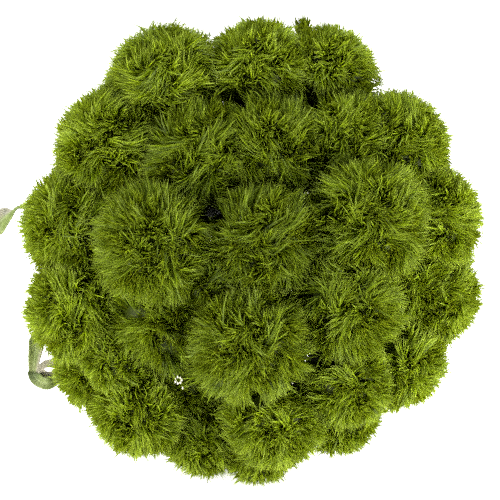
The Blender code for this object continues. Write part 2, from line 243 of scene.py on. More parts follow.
print("tipped by", round(math.degrees(TILT), 2), "degrees; middle of the tie at", PLACE.round(4))

# %% [markdown]
# ## Finishes as small sums
# A finish is a network of shader nodes. Wired one by one, even a simple sum takes many lines, so a
# small class wraps a socket and lets Python's own operators add the Math nodes. Every other node
# comes from one method.

# %% Numbers, nodes and finishes
class Number:
    """A value that changes over a surface. A sum with it adds a Math node."""

    def __init__(self, nodes, socket):
        self.nodes = nodes
        self.socket = socket

    def sum_of(self, operation, first, second=0.0):
        return self.nodes.node("ShaderNodeMath", {"operation": operation}, {0: first, 1: second})

    def __add__(self, other):
        return self.sum_of("ADD", self, other)

    def __radd__(self, other):
        return self.sum_of("ADD", other, self)

    def __sub__(self, other):
        return self.sum_of("SUBTRACT", self, other)

    def __rsub__(self, other):
        return self.sum_of("SUBTRACT", other, self)

    def __mul__(self, other):
        return self.sum_of("MULTIPLY", self, other)

    def __rmul__(self, other):
        return self.sum_of("MULTIPLY", other, self)

    def __pow__(self, other):
        return self.sum_of("POWER", self, other)

    def __rpow__(self, other):
        return self.sum_of("POWER", other, self)

    def __abs__(self):
        return self.sum_of("ABSOLUTE", self)

    def sine(self):
        return self.sum_of("SINE", self)


class Nodes:
    """The shader nodes of a material or of the sky."""

    def __init__(self, owner):
        owner.use_nodes = True
        self.tree = owner.node_tree

    def node(self, kind, settings=None, inputs=None, output=0):
        """A node, with its settings set first and then its sockets."""
        made = self.tree.nodes.new(kind)
        for name, value in (settings or {}).items():
            setattr(made, name, value)
        for name, value in (inputs or {}).items():
            self.feed(made.inputs[name], value)
        return Number(self, made.outputs[output])

    def feed(self, socket, value):
        if isinstance(value, Number):
            self.tree.links.new(value.socket, socket)
        else:
            socket.default_value = value


class Finish(Nodes):
    """A material: its Principled shader and the nodes that feed it."""

    def __init__(self, name, **values):
        self.material = bpy.data.materials.new(name)
        super().__init__(self.material)
        self.skin = self.tree.nodes["Principled BSDF"]
        for socket, value in values.items():
            self.skin.inputs[socket.replace("_", " ")].default_value = value

    def attribute(self, name):
        return self.node("ShaderNodeAttribute", {"attribute_name": name}, output="Fac")

    def ramp(self, value, stops):
        colour = self.node("ShaderNodeValToRGB", {}, {"Fac": value}, "Color")
        elements = colour.socket.node.color_ramp.elements
        while len(elements) < len(stops):
            elements.new(1)
        for element, (place, shade) in zip(elements, stops):
            element.position = place
            element.color = (*shade, 1)
        return colour

    def blend_colours(self, share, first, second, how="MIX"):
        settings = {"data_type": "RGBA", "blend_type": how}
        return self.node("ShaderNodeMix", settings, {0: share, 6: first, 7: second}, 2)

    def noise(self, scale, detail):
        place = self.node("ShaderNodeTexCoord", output="Object")
        return self.node("ShaderNodeTexNoise", {}, {"Vector": place, "Scale": scale, "Detail": detail})

    def colour(self, value):
        self.feed(self.skin.inputs["Base Color"], value)

    def bump(self, height, distance, strength):
        inputs = {"Height": height, "Distance": distance, "Strength": strength}
        self.feed(self.skin.inputs["Normal"], self.node("ShaderNodeBump", {}, inputs))

    def let_light_through(self, share, colour):
        glow = self.node("ShaderNodeBsdfTranslucent", {}, {"Color": (*colour, 1)})
        skin = Number(self, self.skin.outputs[0])
        both = self.node("ShaderNodeMixShader", {}, {0: share, 1: skin, 2: glow})
        self.feed(self.tree.nodes["Material Output"].inputs["Surface"], both)


# %% [markdown]
# ## One bract
# The moss is made of bracts: awl-shaped threads about fifteen millimetres long and under a
# millimetre wide, pointed at the tip. Hair would make them quickly, but hair is no mesh. A three-sided
# cone costs twelve triangles once it can bend, and a flat ribbon costs five. Ribbons at random turns
# look round enough from a step away, so one ribbon is made here from a small grid, and it can be
# repeated by the ten thousand.

# %% The bract's shape
def template(bm):
    """The corners and triangles of a bmesh, as arrays."""
    bmesh.ops.triangulate(bm, faces=bm.faces)
    bm.verts.index_update()
    corners = np.array([v.co for v in bm.verts])
    faces = np.array([[v.index for v in f.verts] for f in bm.faces])
    bm.free()
    return corners, faces


BRACT_WIDTHS = [0.65, 1.0, 0.62, 0.0]  # from the root to the tip
last = len(BRACT_WIDTHS) - 1
bm = bmesh.new()
bmesh.ops.create_grid(bm, x_segments=1, y_segments=last, size=1)
for vert in bm.verts:
    ring = round((vert.co.y + 1) / 2 * last)
    vert.co = (vert.co.x * BRACT_WIDTHS[ring], 0, ring / last)
bmesh.ops.remove_doubles(bm, verts=bm.verts, dist=0.001)
BRACT, BRACT_FACES = template(bm)
print("corners and triangles in a bract:", len(BRACT), len(BRACT_FACES))

# %% [markdown]
# ## How the bracts lie
# On the real head the bracts come out in tufts. Seen close, they cling together in small locks,
# each tuft fans out from its own middle and leans its own way, and the whole head is combed away
# from its crown, like a mop. Each of these is one term in the direction that a bract takes. Numpy
# works on all the bracts of a head at once, because a loop over a hundred thousand of them would be
# slow.

# %% Directions over a ball
def unit(vectors):
    return vectors / np.linalg.norm(vectors, axis=1, keepdims=True)


def even_directions(count, draw, stray=0.6):
    """Directions spread evenly over a ball, each a little off its place."""
    step = np.arange(count) + 0.5
    height = 1 - 2 * step / count
    turn = step * math.pi * (3 - math.sqrt(5))
    ring = np.sqrt(1 - height**2)
    found = np.stack([ring * np.cos(turn), ring * np.sin(turn), height], 1)
    return unit(found + draw.normal(0, stray * 2 / math.sqrt(count), found.shape))


def nearest(way, among):
    return np.argmax(way @ among.T, axis=1)


TOP_HEIGHT = 0.88
BASE_HEIGHT = 0.74
FULL = 1.22  # how far a head spreads towards its neighbours, against its radius
SKIRT = 1.75  # and further below, where it closes the gaps
UNDERSIDE_SOON = 3


def underside(number, way):
    """How far each direction points towards the stems."""
    return np.clip(-UNDERSIDE_SOON * (way @ np.array(head_axis(number))), 0, 1)


def to_the_open(number, way):
    """How far each direction points out of the bunch, where no neighbour is."""
    out = outward(number)
    return np.clip(way @ np.array(out.normalized()), 0, 1) * min(1, out.length / RIM) ** 2


def ball_reach(number, way):
    """How far a head reaches: a squashed ball that spreads where it has neighbours."""
    rise = way @ np.array(head_axis(number))
    height = np.where(rise > 0, TOP_HEIGHT, BASE_HEIGHT)
    ball = HEADS[number].radius / np.sqrt(1 - rise**2 + (rise / height) ** 2)
    full = FULL + (SKIRT - FULL) * underside(number, way)
    return ball * (1 + (full - 1) * (1 - rise**2) * (1 - to_the_open(number, way)))


# %% [markdown]
# ## Heads that press on each other
# Two heads that touch flatten against each other, so each has a flat limit towards every neighbour,
# and the lowest ones have the floor. A bract that would cross such a limit is laid back along it. A
# few millimetres of give let the bracts of two heads mingle, and what ends deep between two heads
# is left out, as nobody sees it.

# %% Limits between heads
MINGLE = 4.0  # how far bracts reach into a neighbour
HIDDEN = 10.0  # how deep between two heads a bract may end
FLOOR_GAP = 0.9
ROUNDS = 3  # over the limits, as one can push a point past another


def limits_of(number):
    """(direction, distance from the head's middle) of each limit, the floor last."""
    middle, radius = head_middle(number), HEADS[number].radius
    ways, reaches = [], []
    for other in HEADS:
        way = head_middle(other) - middle
        span = way.length
        if other == number or span > FULL * (radius + HEADS[other].radius):
            continue
        ways.append(way / span)
        reaches.append((span**2 + radius**2 - HEADS[other].radius ** 2) / (2 * span))
    ways.append(DOWN)
    reaches.append(FLOOR - middle.dot(DOWN) - FLOOR_GAP)
    return np.array(ways), np.array(reaches)


def laid_back(points, limits, give):
    """Points moved back to the limits that they pass by more than give. The floor gives nothing."""
    gives = [give] * (len(limits[1]) - 1) + [0.0]
    for _ in range(ROUNDS):
        for way, reach, soft in zip(*limits, gives):
            over = points @ way - reach - soft
            points = points - np.clip(over, 0, None)[:, None] * way
    return points


def buried(points, limits, radius):
    """How deep each point lies between two heads that touch."""
    deep = np.zeros(len(points))
    for way, reach in zip(*limits):
        if abs(reach) < radius:
            over = points @ way
            edge = math.sqrt(radius**2 - reach**2)
            depth = edge - np.sqrt(np.clip((points**2).sum(1) - over**2, 0, None))
            deep = np.maximum(deep, np.where(over > reach, depth, 0))
    return deep


print("limits of head 24:", len(limits_of(24)[1]))

# %% [markdown]
# ## Dark gaps
# Seen along the bunch, a few gaps stay open between the heads, and the eye falls through them into
# the dark. Each is a place on the dome where no bract may end near the surface, with the size of
# the opening.

# %% Gaps between heads
GAP_DEPTH = 18.0  # how deep below the heads' middles a gap goes
FRAYED = (0.6, 1.4)  # a gap's edge looks grown
GAPS = [  # across, up, radius
    (-59, 83, 4), (-7, 101, 4), (-25, 24, 6), (42, 101, 4), (42, 58, 4),
    (42, 34, 3.5), (-85, -39, 7), (-53, -75, 9), (4, -99, 5), (39, -29, 5),
    (42, -73, 5), (-23, -93, 3.5), (30, -90, 3), (96, -68, 5), (116, 56, 4),
]


def in_gap(points, size, draw):
    """Which points, in the bunch's axes, lie in a gap."""
    found = np.zeros(len(points), bool)
    frayed = size * draw.uniform(*FRAYED, len(points))
    for across, up, radius in GAPS:
        off = np.hypot(points[:, 0] - across, points[:, 1] - up)
        found |= (off < radius * frayed) & (points[:, 2] > dome(across, up) - GAP_DEPTH)
    return found


print("gaps:", len(GAPS))

# %% [markdown]
# ## A head of bracts
# A bract's root sits deep in the head and its tip on the ragged outside. Between them it follows a
# curve with one bend. How high above the head's middle a corner stands, and its shade, go into two
# attributes of the mesh. The finish reads them: roots get a dark painted shade, tips are bright and
# partly a painted highlight, and each lock is a slightly different green. The shade value also
# holds painted shade for bracts that face the stems and for the heads in the middle.

# %% All the bracts of one head
BRACTS = 0.45  # for each square millimetre of the ball
BACK_SHARE = 0.45  # of them are left on the side that faces the stems
FRONT_FROM = -0.1
OPEN_FROM = 0.3
TUFT = 16.0  # distance between two tufts
LOCK = 5.5  # and between two locks
PATCHY = 0.9
ROOT = 0.56  # how deep a root lies, against the head's reach
ROOT_GAP = 2.0
CLING = 0.42  # how far a lock draws together at its tips
FAN = 0.42  # how far a tuft fans out
COMB = 0.10  # how far the head is combed away from its crown
COMB_FROM = 1.3
COMB_LEAST = 0.3
CROWN_SHIFT = math.radians(22)  # how far inwards an outer head's crown lies
CROWN_WHIRL = 0.8  # how much more the bracts lean near the crown
CROWN_TIGHT = 6
SWAY = 0.34  # how far the bracts sway together, in wide waves and in small ones
SWAY_ACROSS = 34.0
RIPPLE = 0.20
RIPPLE_ACROSS = 17.0
OWN_LEAN = 0.06  # how far each bract leans its own way, and how much more a stray does
STRAY_LEAN = 4
STRAY_SHARE = 0.10
GROOVE = 0.06  # how much lower a head is between two tufts
GROOVE_AT = 0.75
LOBE = 0.12  # how much lower the lowest tuft is
RAGGED = 0.13
OUTSTANDING = 0.17  # how far a few single bracts stand out
OUTSTANDING_SHARE = 0.12
BEND = 0.3  # how far a bract bends, and how far to a side, against its length
BOW = 0.08
THINNER = 0.8  # a gap is so much narrower where bracts only pass it
# Painted shade: bracts that face the stems, deep between the heads, are darkened in colour.
UNDERSIDE_PAINTED_SHADE = 0.75  # how much darker the bracts are that face the stems
# Painted shade: the heads in the middle of the bunch, which face away from the bright sky, are darkened
# in colour.
MIDDLE_PAINTED_SHADE = 0.70  # and the heads in the middle of the bunch
ROLL = 0.35  # how far bracts turn from showing their flat side outwards
BRACT_HALF_WIDTH = 0.70
WIDTHS_VARY = (0.7, 1.25)
# The core is dark with the painted shade of a head's deep inside.
CORE = 0.66  # size of the dark inside, against the head's reach
CORE_GAP = 0.5
CORE_PAINTED_SHADE = 0.5  # its height and shade


def leans(count, size, draw):
    return draw.normal(0, size, (count, 3))


def flow_over(way, across, draw, count=7):
    """A smooth random lean for each direction, in waves of the width given by across."""
    runs = unit(leans(count, 1, draw))
    sizes = draw.normal(0, math.sqrt(2 / count), count)
    slopes = np.cos(way @ runs.T * math.tau / across + draw.uniform(0, math.tau, count)) * sizes
    return np.cross(way, slopes @ runs)


def bract_paths(number, draw):
    """Root, bend and tip of each bract from the head's middle, and its lock's tone with painted shade.
    """
    radius, middle, limits = HEADS[number].radius, np.array(head_middle(number)), limits_of(number)
    area = 4 * math.pi * radius**2
    way = even_directions(round(area * BRACTS), draw)
    seen = way @ np.array(head_axis(number)) > FRONT_FROM
    seen |= to_the_open(number, way) > OPEN_FROM
    way = way[draw.random(len(way)) < np.where(seen, 1, BACK_SHARE)]
    count = len(way)
    tufts = even_directions(round(area / TUFT**2), draw, PATCHY)
    locks = even_directions(round(area / LOCK**2), draw, PATCHY)
    lock, tuft = nearest(way, locks), nearest(way, tufts)

    crown = np.array(tipped_out(number, -CROWN_SHIFT))
    to_crown = (way @ crown)[:, None]
    combed = COMB * (way * to_crown - crown) * np.clip(COMB_FROM - np.abs(to_crown), COMB_LEAST, 1)
    strays = np.where(draw.random(count) < STRAY_SHARE, STRAY_LEAN, 1)[:, None]
    lean = SWAY * flow_over(way, SWAY_ACROSS / radius, draw)
    lean += RIPPLE * flow_over(way, RIPPLE_ACROSS / radius, draw)
    lean += leans(count, OWN_LEAN, draw) * strays
    lean *= (1 + CROWN_WHIRL * np.clip(to_crown, 0, 1) ** CROWN_TIGHT) / 2
    tip_way = unit(way + CLING * (locks[lock] - way) + lean)
    root_way = unit(way + FAN * (tufts[tuft] - way) - combed - lean)

    off_tuft = np.linalg.norm(way - tufts[tuft], axis=1) * radius / TUFT
    lower = GROOVE * np.clip(off_tuft / GROOVE_AT, 0, 1) ** 2 + RAGGED * draw.random(count) ** 2
    lower += LOBE * draw.random(len(tufts))[tuft] * (1 - to_the_open(number, tip_way))
    lower -= OUTSTANDING * draw.random(count) * (draw.random(count) < OUTSTANDING_SHARE)
    reach = (ball_reach(number, tip_way) * (1 - lower))[:, None]
    keep = buried(tip_way * reach, limits, radius) < HIDDEN
    tip = laid_back(tip_way * reach, limits, MINGLE * draw.random(count))
    root = laid_back(root_way * (ROOT * reach), limits, -ROOT_GAP)
    length = np.linalg.norm(tip - root, axis=1, keepdims=True)
    bend = (root + tip) / 2 + (root_way - tip_way) * length * BEND + leans(count, BOW, draw) * length
    bend = laid_back(bend, limits, MINGLE / 2)
    keep &= ~in_gap(tip + middle, 1.0, draw)
    keep &= ~in_gap((bend + tip) / 2 + middle, THINNER, draw)

    shade = draw.random(len(locks))[lock] / 2 + draw.random(count) / 2
    # Painted shade on the bracts that face the stems, where shade falls between the heads.
    shade *= 1 - UNDERSIDE_PAINTED_SHADE * (underside(number, way) * (1 - to_the_open(number, way)))
    # Painted shade on the heads in the middle of the bunch.
    shade *= 1 - MIDDLE_PAINTED_SHADE * max(0, 1 - (outward(number).length / RIM) ** 2)
    return root[keep], bend[keep], tip[keep], shade[keep]


TUFT_ON = 3  # one small tuft stands out at the top, between heads 2 and 3
TUFT_FROM = (37, 147, 176)
TUFT_TO = (0.0, 1.0, 0.25)


def loose_tuft(draw):
    count, shortest, longest, spread, bent_at, bow = 160, 14, 23, 0.22, 0.55, 0.9
    root_ball, root_spread = 2.5, 0.3
    way = unit(np.array(TUFT_TO) + leans(count, spread, draw))
    tip = way * draw.uniform(shortest, longest, count)[:, None]
    root = unit(way + leans(count, root_spread, draw)) * root_ball
    return root, tip * bent_at + leans(count, bow, draw), tip, draw.random(count)


def bract_corners(root, bend, tip, draw):
    """Corners of every bract: the rings of the shape across each curve."""
    share = BRACT[:, 2][None, :, None]
    rest = 1 - share
    curve = root[:, None] * rest**2 + bend[:, None] * 2 * share * rest + tip[:, None] * share**2
    side = unit(np.cross(unit(tip - root), unit(tip) + leans(len(root), ROLL, draw)))
    half_width = BRACT_HALF_WIDTH * draw.uniform(*WIDTHS_VARY, len(root))[:, None, None]
    return curve + BRACT[:, 0][None, :, None] * side[:, None] * half_width


def placed(name, data):
    thing = bpy.data.objects.new(name, data)
    bpy.context.collection.objects.link(thing)
    return thing


class Growth:
    """Shapes gathered into one piece. Corners keep a few named values for the finish."""

    def __init__(self, *names):
        self.corners, self.faces, self.finishes, self.count = [], [], [], 0
        self.values = {name: [] for name in names}

    def add(self, corners, faces, finish=0, **values):
        for name, gathered in self.values.items():
            gathered.append(np.broadcast_to(values.get(name, 0.0), len(corners)))
        self.corners.append(corners)
        self.faces.append(faces + self.count)
        self.finishes.append(np.full(len(faces), finish))
        self.count += len(corners)

    def add_bracts(self, corners, **values):
        count, each = corners.shape[:2]
        faces = BRACT_FACES[None] + (np.arange(count) * each)[:, None, None]
        self.add(corners.reshape(-1, 3), faces.reshape(-1, 3), **values)

    def piece(self, name, slot, materials, *replaced):
        mesh = bpy.data.meshes.new(name)
        places = on_floor(np.concatenate(self.corners))
        mesh.from_pydata(places.tolist(), [], np.concatenate(self.faces).tolist())
        for attribute, gathered in self.values.items():
            made = mesh.attributes.new(attribute, "FLOAT", "POINT")
            made.data.foreach_set("value", np.concatenate(gathered).astype(np.float32))
        mesh.polygons.foreach_set("material_index", np.concatenate(self.finishes))
        for material in materials:
            mesh.materials.append(material)
        mesh.shade_smooth()
        piece = placed(name, mesh)
        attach(piece, "root")
        if replaced:
            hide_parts(*replaced)
        return piece


def add_moss(growth, middle, paths, draw):
    root, bend, tip, shade = paths
    corners = bract_corners(root, bend, tip, draw)
    height = np.linalg.norm(corners, axis=2) / np.linalg.norm(tip, axis=1)[:, None]
    growth.add_bracts(corners + middle, height=height.ravel(), shade=np.repeat(shade, len(BRACT)))


def head_piece(number, finish):
    draw = np.random.default_rng(number)
    middle = np.array(head_middle(number))
    growth = Growth("height", "shade")
    bm = bmesh.new()
    bmesh.ops.create_icosphere(bm, subdivisions=3, radius=1)
    way, faces = template(bm)
    core = laid_back(way * (CORE * ball_reach(number, way))[:, None], limits_of(number), -CORE_GAP)
    # The core is coloured with the dark painted shade of a head's inside.
    growth.add(core + middle, faces, height=CORE_PAINTED_SHADE, shade=CORE_PAINTED_SHADE)
    add_moss(growth, middle, bract_paths(number, draw), draw)
    if number == TUFT_ON:
        add_moss(growth, np.array(TUFT_FROM), loose_tuft(draw), draw)
    return growth.piece(f"moss_{number:02d}", "bracts", [finish], f"head_{number:02d}")


# %% [markdown]
# ## The green of the bracts
# Bracts are thin and soft. Light falls on them and also shines through them, so a little of a
# Translucent shader is mixed in. The colour runs from a root darkened with painted shade, which
# gives the head its depth, to a yellow-green point that is partly a painted highlight, and each lock
# has a green of its own. The lock ramp also carries the painted shade of bracts that face the stems
# and of the middle heads.

# %% Bract finish
finish = Finish("bract_green", Roughness=0.5, Specular_IOR_Level=0.1)
# Painted shade: roots deep in a head are darkened nearly to black; the pale, bright tips are partly a
# painted highlight.
length_green_and_shade = finish.ramp(finish.attribute("height"), [
    (0.30, (0.010, 0.014, 0.000)),
    (0.60, (0.036, 0.055, 0.000)),
    (0.76, (0.080, 0.120, 0.000)),
    (0.88, (0.153, 0.221, 0.001)),
    (1.0, (0.305, 0.384, 0.050)),
])
# The shade value holds the tone of each lock and of each bract, with the painted shade from above.
lock_tone_and_shade = finish.ramp(finish.attribute("shade"), [
    (0.0, (0.25, 0.27, 0.17)),
    (0.15, (0.385, 0.415, 0.30)),
    (0.25, (0.47, 0.50, 0.39)),
    (0.5, (0.75, 0.78, 0.70)),
    (0.85, (1.0, 1.0, 1.0)),
])
finish.colour(finish.blend_colours(1.0, length_green_and_shade, lock_tone_and_shade, "MULTIPLY"))
finish.let_light_through(0.2, (0.28, 0.35, 0.01))
heads = [head_piece(number, finish.material) for number in HEADS]
print("bract triangles:", sum(len(head.data.polygons) for head in heads))
print("largest head:", max(len(head.data.polygons) for head in heads))

# %% [markdown]
# ## Stalks
# Under the heads the bunch is all stalks: round, smooth, and swollen at the joints where leaves
# grow. A curve with a bevel would be quick, but its skin wouldn't know where the joints are. Here a
# cylinder is cut into rings with bisect_plane, and each ring is moved to its place on the stem's
# middle line. The ends are inset, because a fresh cut shows pale pith inside a green rim.

# %% A stalk along a line
STALK_SIDES = 12
RIM_OF_CUT = 0.3  # the green rim of a cut end, against its radius
ANGULAR = 0.035  # these stems are faintly four-sided


def cut_cylinder(rings, sides):
    """A closed cylinder of radius one with a ring at each whole height."""
    bm = bmesh.new()
    bmesh.ops.create_cone(bm, cap_ends=True, segments=sides, radius1=1, radius2=1, depth=rings - 1)
    bmesh.ops.translate(bm, verts=bm.verts, vec=(0, 0, (rings - 1) / 2))
    for height in range(1, rings - 1):
        everything = [*bm.verts, *bm.edges, *bm.faces]
        bmesh.ops.bisect_plane(bm, geom=everything, plane_co=(0, 0, height), plane_no=(0, 0, 1))
    ends = [f for f in bm.faces if abs(f.normal.z) > 0.9]
    bmesh.ops.inset_individual(bm, faces=ends, thickness=RIM_OF_CUT)
    return template(bm)


def sideways(points, start):
    """Two directions across a line at each of its points."""
    last = len(points) - 1
    side = Vector(start)
    sides, ups = [], []
    for i in range(len(points)):
        heading = (points[min(i + 1, last)] - points[max(i - 1, 0)]).normalized()
        side = (side - heading * side.dot(heading)).normalized()
        sides.append(side)
        ups.append(heading.cross(side))
    return np.array(sides), np.array(ups)


def stalk(points, radii, sides=STALK_SIDES, start=(1, 0, 0)):
    """Corners and triangles of a stalk, each corner's ring, and how far it is from the middle."""
    corners, faces = cut_cylinder(len(points), sides)
    ring = np.clip(corners[:, 2].round().astype(int), 0, len(points) - 1)
    side, up = sideways(points, start)
    square = 1 - np.cos(4 * np.arctan2(corners[:, 1], corners[:, 0]))
    radius = np.array(radii)[ring] * (1 - ANGULAR * square)
    off = corners[:, :1] * side[ring] + corners[:, 1:2] * up[ring]
    places = np.array(points)[ring] + off * radius[:, None]
    return places, faces, ring, np.hypot(corners[:, 0], corners[:, 1])


# %% [markdown]
# ## Stems
# Each stem's middle line is sampled more finely than its solid, and each joint becomes a smooth
# bell in the radius. Below the tie the leaves have been stripped off, as a florist does, and one
# bare joint shows there.

# %% Lines of the stems
JOINT_SWELL = 1.4
JOINT_HALF = 3.5
BARE_SWELL = 1.3
BARE_HALF = 2.6
BARE_FROM = 0.45  # where the bare joint is, below the tie
BARE_MORE = 0.35
BARE_SEED = 100
SHARES_ABOVE = np.linspace(0, 1, 27)
SHARES_BELOW = np.linspace(0, 1, 11)
JOINT_RINGS = (-1.7, -1.2, -0.8, -0.4, 0, 0.4, 0.8, 1.2, 1.7)


def bell(shares, joints, half):
    """How near each share is to one of the joints, from 0 to 1."""
    near = np.zeros(len(shares))
    for joint in joints:
        near = np.maximum(near, np.exp(-(((shares - joint) / half) ** 2)))
    return near


def rings_for(shares, joints, half):
    extra = [joint + half * step for joint in joints for step in JOINT_RINGS]
    return np.array(sorted({*shares, *extra}))


def stem_line(stem, joints):
    """Points, radii and nearness to a joint, from the cut end up to the head."""
    bare = [BARE_FROM + BARE_MORE * random.Random(stem.number + BARE_SEED).random()]
    lower_half = BARE_HALF / abs(stem.cut.z)
    upper_half = JOINT_HALF / (stem.above(1) - stem.above(0)).length
    lower = rings_for(SHARES_BELOW, bare, lower_half)[::-1]
    upper = rings_for(SHARES_ABOVE, joints, upper_half)
    points = [stem.below(s) for s in lower] + [stem.above(s) for s in upper]
    near_lower, near_upper = bell(lower, bare, lower_half), bell(upper, joints, upper_half)
    radii = STEM_RADIUS * (1 + (BARE_SWELL - 1) * near_lower)
    taper = 1 + (STEM_TOP - 1) * upper
    radii = np.concatenate([radii, STEM_RADIUS * taper * (1 + (JOINT_SWELL - 1) * near_upper)])
    return points, radii, np.concatenate([near_lower, near_upper])


# %% [markdown]
# ## Leaves
# The leaves grow in opposite pairs: lance-shaped, keeled along a pale midrib, with a faint wave at
# the edges. The same few numbers as in the solids say where each leaf goes. A grid is laid along
# its smoothed middle line, and solidify gives it a thickness. Two long leaves reach past the heads
# on the left, so they get rows of their own: one twists and shows a pale dry edge, and the other is
# folded over and ends in a papery curl.

# %% Where the leaves grow
Leaf = namedtuple("Leaf", "stem joint turn length rise droop")
LEAVES = [Leaf(*numbers) for numbers in [
    (1, 0.42, 34, 78, 40, 52), (1, 0.42, -30, 70, 44, 60), (1, 0.72, 38, 58, 8, 30),
    (2, 0.50, 26, 74, 30, 55), (2, 0.50, -34, 62, 34, 44), (2, 0.70, -24, 52, 6, 30),
    (3, 0.40, 30, 76, 42, 50), (3, 0.40, -30, 70, 38, 60), (3, 0.71, -34, 54, 8, 30),
    (4, 0.48, 28, 72, 26, 50), (4, 0.48, -32, 80, 30, 40), (4, 0.73, 30, 56, 6, 30),
    (5, 0.40, 30, 74, 44, 52), (5, 0.40, -28, 78, 38, 58), (5, 0.72, -30, 56, 8, 28),
    (6, 0.51, 24, 66, 26, 50), (6, 0.73, 18, 50, 6, 28),
    (7, 0.40, 28, 72, 40, 55), (7, 0.40, -30, 76, 42, 48), (7, 0.70, 30, 52, 4, 30),
    (12, 0.44, 24, 62, 46, 40), (12, 0.68, -28, 40, 10, 20),
    (13, 0.38, -30, 70, 44, 46), (13, 0.68, 26, 46, 8, 24),
    (14, 0.40, -26, 74, 34, 60), (14, 0.70, 30, 48, 4, 28),
    (16, 0.40, -34, 70, 40, 56), (17, 0.40, -32, 72, 42, 54),
    (18, 0.48, 30, 78, 30, 52), (18, 0.48, -30, 74, 34, 48), (18, 0.73, -32, 56, 6, 30),
]]
LEAF_HALF_WIDTH = 7.0
LEAF_THICK = 0.45
LEAF_ROWS = 6
LEAF_BASE = 0.16
LEAF_LEAST = 0.04
LEAF_BROAD = 0.85
LEAF_EARLY = 0.8

# A long leaf's rows: place, way to its right-hand edge, half width. Its pale part starts so far across.
LongLeaf = namedtuple("LongLeaf", "stem joint pale_from rows")
LONG_LEAVES = [
    LongLeaf(17, 0.62, 0.0, [
        ((-110, 18, 138), (0, -0.5, 1), 7.0), ((-140, 29, 150), (0, -0.2, 1), 8.0),
        ((-158, 33, 156), (0, -0.06, 1), 8.5), ((-167.6, 31.6, 158), (0, -0.06, 1), 9.0),
        ((-171.9, 27.8, 159), (0, -0.36, 0.93), 9.2), ((-175.2, 24.9, 159), (0, -0.62, 0.78), 9.4),
        ((-180.6, 20.4, 159), (0, -1, 0), 9.6), ((-190, 15.0, 158), (0, -1, 0), 8.6),
        ((-200, 12.5, 156), (0, -1, 0), 5.0), ((-207.5, 12.0, 154), (0, -1, 0), 0.5),
    ]),
    LongLeaf(16, 0.62, 0.4, [
        ((-105, -42, 134), (-0.7, 0.7, 0), 5.0), ((-143, -55, 147), (-0.85, 0.45, 0), 5.5),
        ((-154.4, -65.4, 152), (-1, 0.25, 0), 5.4), ((-155.2, -72.4, 155), (-1, 0.1, 0), 5.1),
        ((-155.9, -79.5, 157), (-1, 0, 0), 4.4), ((-156.6, -86.0, 157), (-1, 0, 0), 3.4),
        ((-156.6, -89.5, 156), (-1, 0, 0), 3.0),
    ]),
]
# The second leaf is folded over: past the fold it turns to the right, and it ends in a papery curl.
FOLDED = [
    ((-156.8, -88.4, 158), (-1, 0.12, 0), 4.2), ((-153.8, -92.4, 162), (-0.75, -0.6, 0), 4.4),
    ((-149.6, -95.0, 165), (-0.4, -0.92, 0), 4.1), ((-144.5, -95.7, 166), (0, -1, 0), 4.3),
    ((-140.2, -93.5, 164), (0.45, -0.85, 0), 3.7), ((-136.5, -90.0, 160), (0.7, -0.7, 0), 2.4),
]
PAPERY_CURL = [
    ((-135.0, -80.0, 158), (0, 1, 0), 3.6), ((-142.0, -81.5, 160), (-0.1, 1, 0), 3.3),
    ((-147.5, -82.3, 161), (-0.5, 0.9, 0), 2.7), ((-150.4, -85.4, 161), (-1, 0.1, 0), 2.5),
    ((-148.6, -89.4, 160), (-0.7, -0.8, 0), 2.9), ((-144.0, -90.6, 159), (0.1, -1, 0), 3.0),
    ((-137.0, -88.0, 158), (0.2, -1, 0), 2.6),
]


def lance(share):
    """Half width of a lance-shaped leaf: clasping at the base, widest before the middle."""
    along = min((LEAF_BASE + (1 - LEAF_BASE) * share) ** LEAF_EARLY, 1)
    return LEAF_HALF_WIDTH * max(math.sin(math.pi * along) ** LEAF_BROAD, LEAF_LEAST)


def arched_rows(stem, leaf):
    """Rows of a leaf that rises from its stem and arches over."""
    place, along = stem.above(leaf.joint), stem.heading(leaf.joint)
    out = outward(leaf.stem)
    out = (out - along * out.dot(along)).normalized()
    out = Matrix.Rotation(math.radians(leaf.turn), 3, along) @ out
    right = along.cross(out).normalized()
    rise = math.radians(leaf.rise)
    rows = [(place, right)]
    for _ in range(LEAF_ROWS):
        place = place + (out * math.cos(rise) + along * math.sin(rise)) * leaf.length / LEAF_ROWS
        rise -= math.radians(leaf.droop) / LEAF_ROWS
        rows.append((place, right))
    return rows


print("leaves in pairs or single:", len(LEAVES), "and long ones:", len(LONG_LEAVES))

# %% A blade along rows
BLADE_COLUMNS = 8
BLADE_BETWEEN = 5
KEEL = 0.28
KEEL_ROUNDING = 1.5
EDGE_WAVE = 0.10
WAVES = 3.0


def smoothed(vectors):
    """Points on a smooth curve through the given ones."""
    last = len(vectors) - 1
    line = [vectors[0]]
    for i in range(last):
        here, there = vectors[i], vectors[i + 1]
        before, after = vectors[max(i - 1, 0)], vectors[min(i + 2, last)]
        handles = here + (there - before) / 6, there - (after - here) / 6
        line += interpolate_bezier(here, *handles, there, BLADE_BETWEEN + 1)[1:]
    return line


